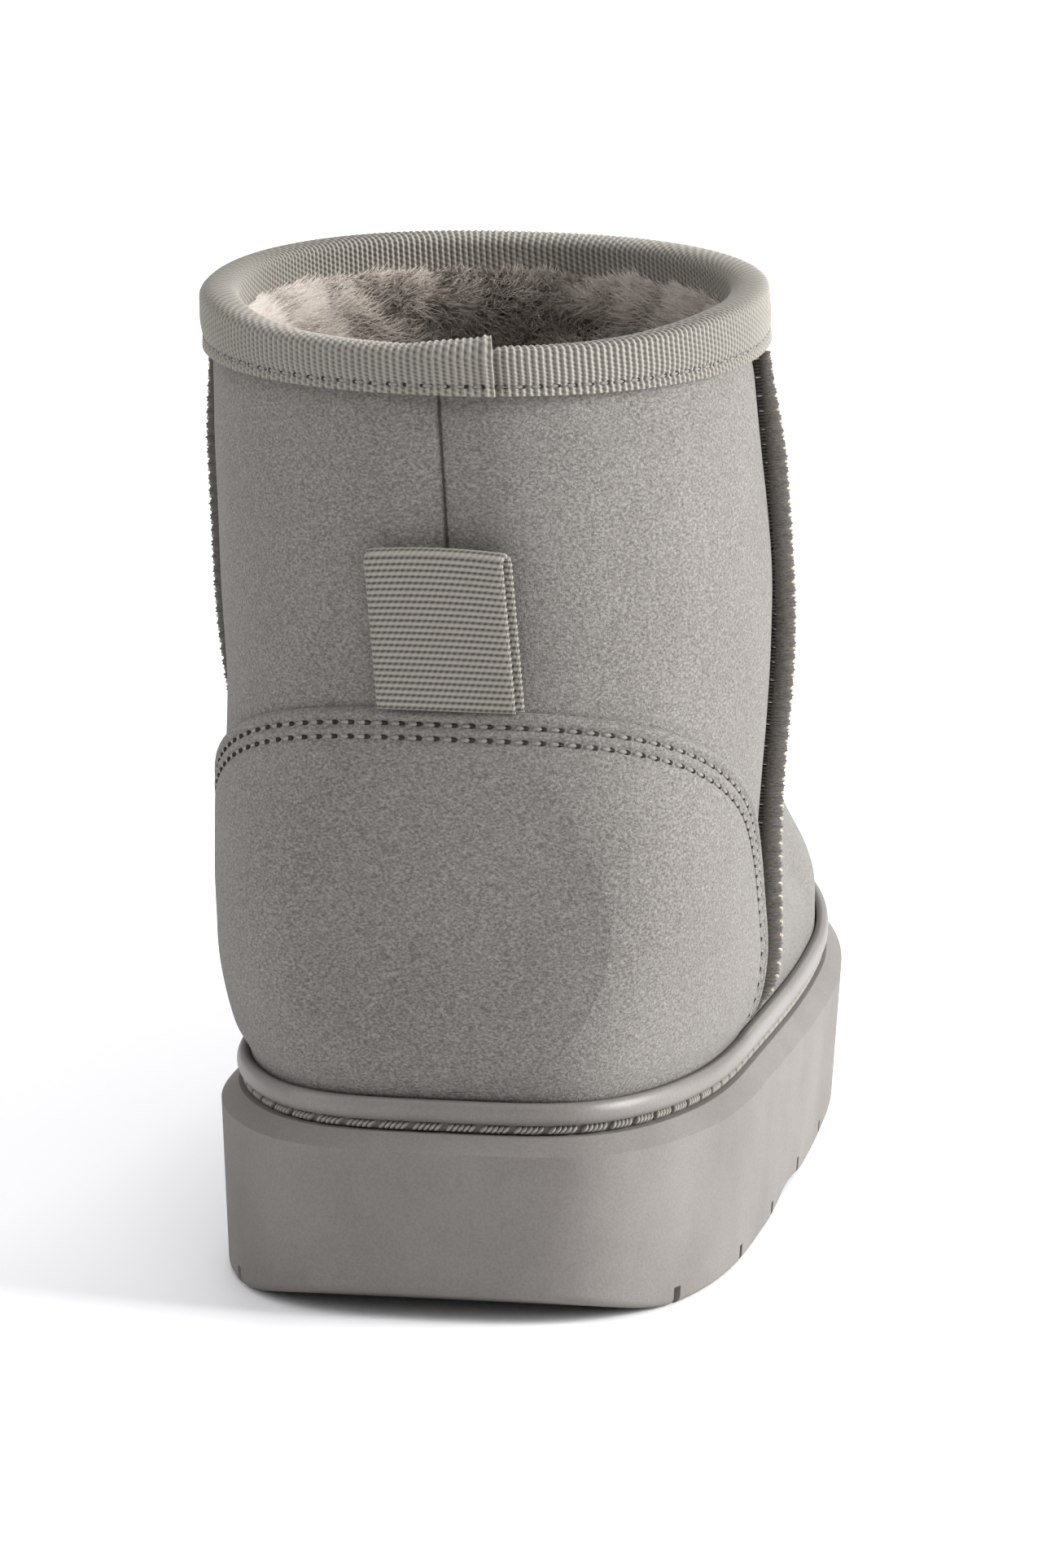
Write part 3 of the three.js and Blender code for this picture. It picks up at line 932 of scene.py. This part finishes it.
edgeTurn, edgeLevel = counterLine(np.linspace(-1, 1, 701))[:2]
edgePoints = upperOffset(edgeTurn, edgeLevel, 1.0)
edgeTree = kdtree.KDTree(len(edgePoints))
for index, point in enumerate(edgePoints.tolist()):
    edgeTree.insert(point, index)
edgeTree.balance()

counterGrid = {"columns": 300, "rows": 96, "backRows": 6}


def counterThickness(points):
    s = counterSettings
    far = np.array([edgeTree.find(p)[2] for p in points.tolist()])
    rounded = np.sqrt(np.clip(1 - (1 - np.clip(far / s["edgeRound"], 0, 1)) ** 2, 0, 1))
    troughs = sum(0.42 * bump(far - row, 0.75) for row in s["stitchRows"])
    swell = 0.35 * bump(far - 1.2, 0.9) + 0.25 * bump(far - 4.0, 0.8)
    tuck = ease((points[:, 2] - (ledge(points[:, 1]) + s["tuck"])) / 7)
    return (s["thickness"] - troughs * rounded + swell) * rounded * tuck


def counterLift(points):
    # the gap to the upper, and soft unevenness that fades out at the bead
    fade = ease((points[:, 2] - (ledge(points[:, 1]) + counterSettings["tuck"])) / 10)
    return 0.25 + softNoise(points, 40, 17.2) * 0.3 * fade


def placeCounter(column, row):
    g = counterGrid
    sample = 2 * column / g["columns"] - 1
    y = counterLine(sample)[2]
    z = counterEdge(y)
    foot = ledge(y) + 5.6
    rise, outer, last = layerRows(row, g["rows"], g["backRows"])
    rise = np.where(last, 0, np.clip(rise, 0, 1))
    height = mix(np.minimum(foot, z), z, 1 - (1 - rise) ** 1.25)
    level = levelAt(y, height)
    turned = np.sign(sample) * turnAt(y, level)
    points = upperOffset(turned, level, 1.0)
    thick = counterThickness(points) + counterLift(points)
    ends = np.abs(sample) > 0.9999
    return upperOffset(turned, level, np.where((outer | last) & ~ends, np.maximum(thick, 0.06), 0.05))


def insetLine(turn, level, distance):
    # the counter's edge moved in along the suede, in small steps
    steps = 6
    for step in range(steps):
        point = upperPoint(turn, level)
        small = 0.003
        roundways = (upperPoint(turn + small, level) - upperPoint(turn - small, level)) / (2 * small)
        upways = (upperPoint(turn, level + small) - upperPoint(turn, level - small)) / (2 * small)
        tangent = unit(np.gradient(point, axis=0))
        inward = unit(np.cross(tangent, upperNormal(turn, level)))
        move = inward * distance / steps
        across, up = (move * roundways).sum(-1), (move * upways).sum(-1)
        roundSquare, upSquare = (roundways ** 2).sum(-1), (upways ** 2).sum(-1)
        shared = (roundways * upways).sum(-1)
        whole = roundSquare * upSquare - shared ** 2
        turn = turn + (across * upSquare - up * shared) / whole
        level = level + (up * roundSquare - across * shared) / whole
    return turn, level


def stitchesOnLine(points, normals, pitch, length, radius, sink=0.0):
    place = evenly(points, pitch)
    ahead = pick(points, np.minimum(place + 0.8, len(points) - 1))
    behind = pick(points, np.maximum(place - 0.8, 0))
    out = unit(pick(normals, place))
    along = unit(ahead - behind)
    return pick(points, place) - out * sink, np.cross(along, out) * radius, along * length / 2, out * radius


def makeCounterStitches():
    s = counterSettings
    threads, holes = [], []
    inner = slice(6, -6)
    for row in s["stitchRows"]:
        turn, level = insetLine(edgeTurn[inner], edgeLevel[inner], row)
        smooth = upperPoint(turn, level)
        keep = smooth[:, 2] > ledge(smooth[:, 1]) + s["holdOff"]
        turn, level = turn[keep], level[keep]
        normals = upperNormal(turn, level)
        near = upperOffset(turn, level, 1.0)
        out = counterThickness(near) + counterLift(near) + 0.1
        points = upperPoint(turn, level) + normals * out[:, None]
        threads.append(stitchesOnLine(points, normals, s["stitchPitch"], **s["stitch"]))
        # a hole, a dark blob of painted shade, lies between each stitch and the next
        half = evenly(points, s["stitchPitch"] / 2)[1::2]
        at = pick(points, half)
        out = unit(pick(normals, half))
        along = unit(pick(points, np.minimum(half + 0.8, len(points) - 1)) - at)
        wide, long, deep = s["hole"]
        holes.append((at, np.cross(along, out) * wide, along * long, out * deep))
    rows = [("counter_stitches", threads, stitchThread), ("counter_needle_holes", holes, needleHoles)]
    for name, parts, material in rows:
        addCopies(name, stitchShape, [np.concatenate(part) for part in zip(*parts)], material)


addLayer("suede_counter", counterGrid.values(), placeCounter, suede, ["heel_counter"])
makeCounterStitches()
print("counter made")


# Side seams: a raised edge overcast with thread, from the bead up to the binding
def makeSeam(name, node, sign):
    s = seamSettings
    share = np.linspace(0, 1, s["samples"])
    level = mix(s["foot"] / shaftSpan, 1 - s["top"] / shaftSpan, share)
    turn = sign * turnAt(seamY(share), level)
    points, normals = upperOffset(turn, level, s["base"]), upperNormal(turn, level)
    tangents = unit(np.gradient(points, axis=0))
    acrosses = unit(np.cross(tangents, normals))
    rise = arcOf(points)
    length = rise[-1]
    loopCount = int(length / s["pitch"])

    def footShare(index):
        # the edge thins out where it goes down behind the bead, and below the binding
        return mix(0.4, 1.0, ease(rise[index] / 9)) * mix(0.6, 1.0, ease((length - rise[index]) / 22))

    def scallop(index):
        # the loops of thread draw the edge in
        return 0.93 + 0.07 * np.cos(2 * math.pi * rise[index] / length * loopCount)

    def placeCore(column, row):
        index = np.rint(column / s["stations"] * (len(points) - 1)).astype(int)
        angle = turnOf(row, s["ringPoints"])
        ends = np.where((column == 0) | (column == s["stations"]), 0.0, 1.0) * footShare(index)
        wide = s["width"] * 0.43 * ends
        high = s["proud"] * 0.93 * ends * scallop(index)
        out = np.maximum(np.sin(angle), -0.12) * high
        aside = acrosses[index] * (np.cos(angle) * wide)[:, None]
        return points[index] + aside + normals[index] * out[:, None]

    def tilted(index, degrees):
        # the directions along and across the edge, turned a little about its normal
        tilt = math.radians(degrees) * sign
        along = unit(tangents[index] * math.cos(tilt) + acrosses[index] * math.sin(tilt))
        return along, unit(acrosses[index] * math.cos(tilt) - tangents[index] * math.sin(tilt))

    mesh = gridMesh(name + "_core", s["stations"], s["ringPoints"], placeCore)
    addPiece(name, mesh, seamThread, [node])
    # fine wraps of thread lie close together over the whole edge
    random = np.random.default_rng(31)
    index = np.rint(evenly(points, s["wrapPitch"])).astype(int)
    small = footShare(index)[:, None]
    along, across = tilted(index, s["wrapTilt"])
    wide = s["width"] * 0.45 * random.uniform(0.96, 1.04, (len(index), 1)) * small
    high = s["proud"] * random.uniform(0.98, 1.03, (len(index), 1)) * small * scallop(index)[:, None]
    wraps = (points[index], across * wide, along * s["wrapPitch"] * 0.62, normals[index] * high)
    addCopies(name + "_wraps", roundTemplate(8, 10), wraps, seamThread)
    # paler loops lie over the whole edge too, further apart
    shape = bmesh.new()
    bmesh.ops.create_circle(shape, segments=6, radius=s["loopThread"])
    bmesh.ops.translate(shape, verts=shape.verts, vec=(1, 0, 0))
    around = {"axis": (0, 1, 0), "cent": (0, 0, 0), "steps": 12, "angle": -math.pi}
    bmesh.ops.spin(shape, geom=list(shape.edges), **around)
    index = np.rint(evenly(points, s["pitch"])[2:]).astype(int)
    along, across = tilted(index, s["loopTilt"])
    small = footShare(index)[:, None]
    at = points[index] + acrosses[index] * sign * s["loopShift"]
    high = s["proud"] * 0.86 * small
    loops = (at, across * s["width"] * 0.41 * small, along * 2.2, normals[index] * high)
    addCopies(name + "_threads", meshOf(shape, "thread_loop"), loops, loopThread)


makeSeam("overcast_seam_outer", "side_seam_outer", 1)
makeSeam("overcast_seam_inner", "side_seam_inner", -1)
print("side seams made")

# Collar binding: ribbed tape folded over the edge, its left end lapped over its right at the back
roundTurns = np.linspace(0, 2 * math.pi, 2401)
collarRing = upperOffset(roundTurns, 1.0, 1.6)
collarArc = arcOf(collarRing)
collarGirth = collarArc[-1]
ribCount = int(round(collarGirth / bindingSettings["ribPitch"]))
bindingRows = 40
insideRows = 10
foldStart, foldSpan = 0.36, 0.28  # shares of the profile that turn over the edge


def foldAngle(share):
    return math.pi * np.clip((share - foldStart) / foldSpan, 0, 1)


def bindingProfile(share):
    # from the lower edge outside (0), over the top, to the lower edge inside (1): drop, distance out, lift
    s = bindingSettings
    out = boot["clearance"] + s["thickness"]
    back = -boot["wall"] - out
    angle = foldAngle(share)
    middle = (out + back) / 2
    distance = middle + (out - middle) * np.sign(np.cos(angle)) * np.abs(np.cos(angle)) ** 0.8
    lift = out * np.sin(angle) ** 0.8
    inward = share - (1 - foldStart)
    drop = np.where(share < foldStart, 1 - share / foldStart, np.clip(inward / foldStart, 0, 1))
    return s["height"] * drop, distance, lift


def lapHeight(arc):
    # how far the lapped end stands out
    s = bindingSettings
    atLap = np.interp(s["lapPlace"], collarRing[:600, 0], collarArc[:600])
    before = (atLap - arc) % collarGirth
    after = collarGirth - before
    fold = 0.35 * bump(before - 1.1, 0.7) - 0.55 * bump(after, 1.3) * (after > 0.05)
    return s["lapStep"] * np.clip(1 - before / s["lapRamp"], 0, 1) ** 0.7 * (before > 0.05) + fold


def placeBinding(column, row):
    s = bindingSettings
    columns = ribCount * s["columnsPerRib"]
    arc = collarGirth * (column % columns) / columns
    turn = np.interp(arc, collarArc, roundTurns)
    inside = row > bindingRows
    share = np.where(inside, 1 - (row - bindingRows) / insideRows, row / bindingRows)
    share = np.clip(share, 0, 1)
    drop, distance, lift = bindingProfile(share)
    rib = np.cos(2 * math.pi * arc / collarGirth * ribCount)
    edge = s["height"] - drop
    stitched = 0.35 * bump(edge - s["stitchHeight"], 0.5) * (share < foldStart)
    # the tape rolls over the padded edge and stands out most a little under its top
    roll = s["roll"] * ease((edge - s["stitchHeight"]) / 3.5) * (share < 0.9)
    relief = s["ribDepth"] * rib - stitched + roll + lapHeight(arc) * (share < 0.62)
    relief = np.where(inside, 0, relief)
    # the tape's inner layer closes it, against the suede
    distance = np.where(inside, np.where(share > 0.5, -boot["wall"] - 0.1, 0.1), distance)
    lift = np.where(inside, 0.1, lift)
    level = 1 - drop / shaftSpan
    direction = upperNormal(turn, level)
    angle = foldAngle(share)
    push = direction * np.cos(angle)[:, None] + np.array([0, 0, 1.0]) * np.sin(angle)[:, None]
    points = upperPoint(turn, level) + direction * distance[:, None] + push * relief[:, None]
    points[:, 2] += lift
    return points


def makeBinding():
    s = bindingSettings
    tape = webbingMaterial("grosgrain_binding", webbingSettings, ribCount, 30, 0.7, 0.02)
    mesh = gridMesh("ribbed_binding", ribCount * s["columnsPerRib"], bindingRows + insideRows, placeBinding)
    addPiece("ribbed_binding", mesh, tape, ["collar_binding"])
    level = 1 - (s["height"] - s["stitchHeight"]) / shaftSpan
    points = upperOffset(roundTurns, level, 1.55 + lapHeight(collarArc))
    normals = upperNormal(roundTurns, level)
    stitches = stitchesOnLine(points, normals, s["stitchPitch"], **s["stitch"])
    addCopies("binding_stitches", stitchShape, stitches, stitchThread)
    # dark blobs of painted shade for the needle holes between the stitches
    half = evenly(points, s["stitchPitch"] / 2)[1::2]
    out = unit(pick(normals, half))
    along = unit(np.cross(np.array([0, 0, 1.0]), out))
    wide, long, deep = s["hole"]
    holes = (pick(points, half) - out * 0.1, np.cross(along, out) * wide, along * long, out * deep)
    addCopies("binding_needle_holes", stitchShape, holes, needleHoles)


makeBinding()
print("binding made")


# Back seam: a fine dark thread in the closed edge, from the binding down to the counter
def makeBackSeam():
    low = levelAt(np.asarray(5.0), np.asarray(boot["ledgeHeight"] + counterSettings["height"] - 1.0))
    high = 1 - (bindingSettings["height"] - 0.8) / shaftSpan
    level = np.linspace(float(low), high, 200)
    turn = np.zeros(200)
    points = upperOffset(turn, level, 0.12 - upperRelief(turn, level, upperPoint(turn, level)))
    stitches = stitchesOnLine(points, upperNormal(turn, level), pitch=1.7, length=2.3, radius=0.3)
    addCopies("back_seam_thread", stitchShape, stitches, darkThread)


makeBackSeam()

# Pull loop: a folded strip of ribbed webbing, its front leg slanted
loopSettings = {
    "width": 25,
    "height": 28.8,
    "tape": 1.1,
    "gap": 1,
    "shift": 1.3,
    "aside": 0.5,
    "lean": 5.6,
    "ribPitch": 1.1,
    "rowsPerRib": 6,
    "acrossPoints": 24,
}


def makeLoop():
    s = loopSettings
    radius = (s["tape"] + s["gap"]) / 2
    straight = s["height"] - radius - s["tape"] / 2
    length = 2 * straight + math.pi * radius
    ribs = int(round(length / s["ribPitch"]))
    stations = ribs * s["rowsPerRib"]
    face = np.linspace(0.96, -0.96, s["acrossPoints"])
    section = [(share, 1.0) for share in face] + [(-0.99, 0.7), (-1.0, 0.0), (-0.99, -0.7)]
    section = np.array(section + [(-share, -through) for share, through in section])
    sectionPoints = len(section)
    foot = boot["ledgeHeight"] + counterSettings["height"] + boot["clearance"]
    base = upperPoint(0.0, (foot - boot["ledgeHeight"]) / shaftSpan)
    seat = float(base[1]) - boot["clearance"] - s["tape"] / 2

    def placeStrip(column, row):
        along = length * np.clip(column - 1, 0, stations) / stations
        angle = math.pi * np.clip((along - straight) / (math.pi * radius), 0, 1)
        atTop = straight + radius * np.sin(angle)
        up = np.where(along < straight, along, np.where(along > length - straight, length - along, atTop))
        out = radius * (1 + np.cos(angle))
        # front is 1 on the outer leg and 0 on the leg against the shoe
        front = np.where(along < straight, 1, np.where(along > length - straight, 0, 1 - angle / math.pi))
        # rows go round the strip's section: one face, its rounded edge, the other face and its edge
        k = row % sectionPoints
        across, through = section[k].T
        rib = 0.5 + 0.5 * np.cos(2 * math.pi * along / length * ribs)
        thick = s["tape"] / 2 * (0.62 + 0.38 * rib ** 0.4)
        ends = np.where((column == 0) | (column == stations + 2), 0.0, 1.0)
        edge = 1 + 0.012 * rib
        x = across * s["width"] / 2 * edge * ends + mix(s["shift"], 0, front)
        x = x - up * math.tan(math.radians(s["lean"])) - s["aside"]
        sag = 0.35 * np.sin(math.pi * np.clip(up / straight, 0, 1)) * (across ** 2 - 0.4) * front
        y = seat - out - through * thick * ends * np.cos(angle) + sag
        z = foot + up + through * thick * ends * np.sin(angle) + 0.6 * (1 - across ** 2) * up / s["height"]
        return np.stack([x, y, z], axis=-1)

    tape = webbingMaterial("grosgrain_webbing", webbingSettings, ribs, 52, 0.32, 0.14)
    mesh = gridMesh("webbing_loop", stations + 2, sectionPoints, placeStrip)
    return addPiece("webbing_loop", mesh, tape, ["pull_loop"])


makeLoop()
print("loop made")

# Bead and stitched recess, moulded in one with the platform
beadSettings = {
    "height": 4.2,
    "seat": 2.0,
    "inset": 2.7,
    "recess": 4.7,
    "ribHeight": 1.05,  # the moulded stitches' middle above the ledge
    "columns": 520,
    "dashPitch": 6.1,
    "dashLength": 4.9,
    "dashRibs": 5,
}


def makeBead():
    s = beadSettings
    inner = boot["featherInset"] - boot["clearance"]
    bulge = (inner - s["inset"]) / 2
    middle = s["inset"] + bulge
    angles = np.linspace(-0.5 * math.pi, 0.5 * math.pi, 17)
    # inset and lift of each row: the recess, the bead's round and its back
    profile = [(inner, 0.15), (s["recess"] + 0.1, 0.15)]
    profile += [(s["recess"], lift) for lift in (0.4, 1.0, 1.7)]
    profile += [(middle - bulge * math.cos(a), s["seat"] + s["height"] / 2 * (1 + math.sin(a)))
                for a in angles]
    profile += [(inner, s["seat"] + s["height"] * 0.94), (inner, 2.0)]
    insets = np.array([p[0] for p in profile])
    lifts = np.array([p[1] for p in profile])

    def placeBead(column, row):
        k = row % len(profile)
        x, y = outline(turnOf(column, s["columns"]), insets[k])
        return np.stack([x, y, ledge(y) + lifts[k]], axis=-1)

    mesh = gridMesh("rubber_bead", s["columns"], len(profile), placeBead)
    addPiece("rubber_bead", mesh, beadRubber, ["welt"])
    # moulded imitation stitches: dashes of slanted ribs in the recess, coloured lighter than the bead as
    # painted light
    turns = np.linspace(0, 2 * math.pi, 3001)

    def recessLine(inset):
        x, y = outline(turns, inset)
        return np.stack([x, y, ledge(y) + s["ribHeight"]], axis=-1)

    line = recessLine(s["recess"])
    outward = unit(recessLine(s["recess"] - 1) - line)
    arc = arcOf(line)
    dashes = int(round(arc[-1] / s["dashPitch"]))
    starts = np.arange(dashes) * arc[-1] / dashes
    ribStep = s["dashLength"] / s["dashRibs"]
    wanted = (starts[:, None] + (np.arange(s["dashRibs"]) + 0.5) * ribStep).ravel()
    at = pick(line, wanted, arc)
    out = unit(pick(outward, wanted, arc))
    along = unit(pick(line, wanted + 0.3, arc) - at)
    up = unit(np.cross(out, along))
    slanted = unit(along * 0.75 + up * 0.75 * np.sign(up[:, 2:3]))
    ribs = (at, unit(np.cross(slanted, out)) * 0.42, slanted * 1.1, out * 1.25)
    addCopies("moulded_stitches", stitchShape, ribs, mouldedStitchesPaintedLight)


makeBead()
print("bead made")

# Platform: expanded rubber with a bevelled top edge and slits across its tread
platformSettings = {
    "columns": 480,
    "chamfer": 3,
    "taper": 1.5,
    "round": 1.4,
    "grooveWidth": 2.2,
    "grooveDepth": 3.4,
    "groovePitch": 34,
    "firstGroove": 24,
}


def makePlatform():
    s = platformSettings
    foot = s["taper"] + s["round"]
    # each row: share of the way out from the middle line, inset, share of the way up the wall, lift
    rows = [(k / 18, foot, 0, 0) for k in range(18)]
    rows += [(1, foot - s["round"] * math.sin(a), 0, s["round"] * (1 - math.cos(a)))
             for a in np.linspace(0, math.pi / 2, 6)]
    rows += [(1, s["taper"] * (1 - k / 14), k / 14, 0) for k in range(1, 14)]
    rows += [(1, s["chamfer"] * c, 1, -s["chamfer"] * (1 - c))
             for c in (0.0, 0.04, 0.12, 0.5, 0.88, 0.96, 1.0)]
    rows += [(1 - k / 8, s["chamfer"], 1, 0) for k in range(1, 9)]
    profile = np.array(rows)

    def placePlatform(column, row):
        spread, inset, rise, lift = profile[row].T
        x, y = outline(turnOf(column, s["columns"]), inset)
        low = ground(y) + s["round"] * (rise > 0) * (rise < 1)
        top = ledge(y) - s["chamfer"] * (rise < 1)
        z = np.where(rise < 1, mix(low, top, rise), top) + lift
        return np.stack([x * spread, y, z], axis=-1)

    mesh = gridMesh("rubber_platform", s["columns"], len(rows) - 1, placePlatform)
    piece = addPiece("rubber_platform", mesh, platformRubber, ["outsole"])
    shape = bmesh.new()
    size = Matrix.Diagonal((boot["ballWidth"] * 1.3, s["grooveWidth"], s["grooveDepth"] * 2, 1 / mm)) * mm
    for place in np.arange(s["firstGroove"], boot["soleLength"] - s["groovePitch"] / 2, s["groovePitch"]):
        centre = Vector(toFrame([0, place, float(ground(place))]))
        bmesh.ops.create_cube(shape, size=1, matrix=Matrix.Translation(centre) @ size)
    cutter = addObject("tread_cutter", meshOf(shape, "tread_cutter"))
    cut = piece.modifiers.new("slits", "BOOLEAN")
    cut.operation = "DIFFERENCE"
    cut.object = cutter
    cut.solver = "EXACT"
    evaluated = piece.evaluated_get(bpy.context.evaluated_depsgraph_get())
    finished = bpy.data.meshes.new_from_object(evaluated)
    piece.modifiers.clear()
    piece.data = finished
    bpy.data.objects.remove(cutter)
    finished.set_sharp_from_angle(angle=math.radians(38))


makePlatform()
print("platform made")

# Floor and light: a pale studio sweep, the main light large and soft from the upper right
studioSettings = {
    "floor": "#f4f4f5",
    "world": "#f6f7fb",
    "worldStrength": 0.43,
    "key": {"place": (2.2, 0.0, 0.85), "size": 1.3, "power": 113},
    "fill": {"place": (-1.9, -0.9, 1.2), "size": 1.5, "power": 17},
    "top": {"place": (-0.1, -1.3, 2.3), "size": 1.6, "power": 15},
    "back": {"place": (0.2, 2.0, 2.2), "size": 2.2, "power": 60},
}


def makeFloor():
    shape = bmesh.new()
    bmesh.ops.create_grid(shape, x_segments=8, y_segments=8, size=12)
    mesh = meshOf(shape, "studio_floor")
    floor = addObject("studio_floor", mesh)
    # painted board: matt and even
    material, tree, shader, objectCoords = newMaterial("painted_board")
    patches = noiseOf(tree, objectCoords, 400, 2)
    colour = rampOf(tree, patches, [(0.3, studioSettings["floor"]), (0.7, "#f6f6f7")])
    setSurface(tree, shader, colour, 0.9, 0.1)
    mesh.materials.append(material)


def makeLight(name):
    settings = studioSettings[name]
    lamp = bpy.data.lights.new(name + "_light", "AREA")
    lamp.energy = settings["power"]
    lamp.size = settings["size"]
    light = addObject(name + "_light", lamp)
    place = Vector(settings["place"])
    facing = (Vector((0, 0, 0.08)) - place).to_track_quat("-Z", "Y").to_matrix().to_4x4()
    light.matrix_world = Matrix.Translation(place) @ facing


def makeStudio():
    makeFloor()
    for name in ("key", "fill", "top", "back"):
        makeLight(name)
    world = bpy.data.worlds.new("studio")
    scene.world = world
    world.use_nodes = True
    background = world.node_tree.nodes["Background"]
    background.inputs["Color"].default_value = linear(studioSettings["world"])
    background.inputs["Strength"].default_value = studioSettings["worldStrength"]
    scene.view_settings.view_transform = "Standard"


makeStudio()
print("studio made")
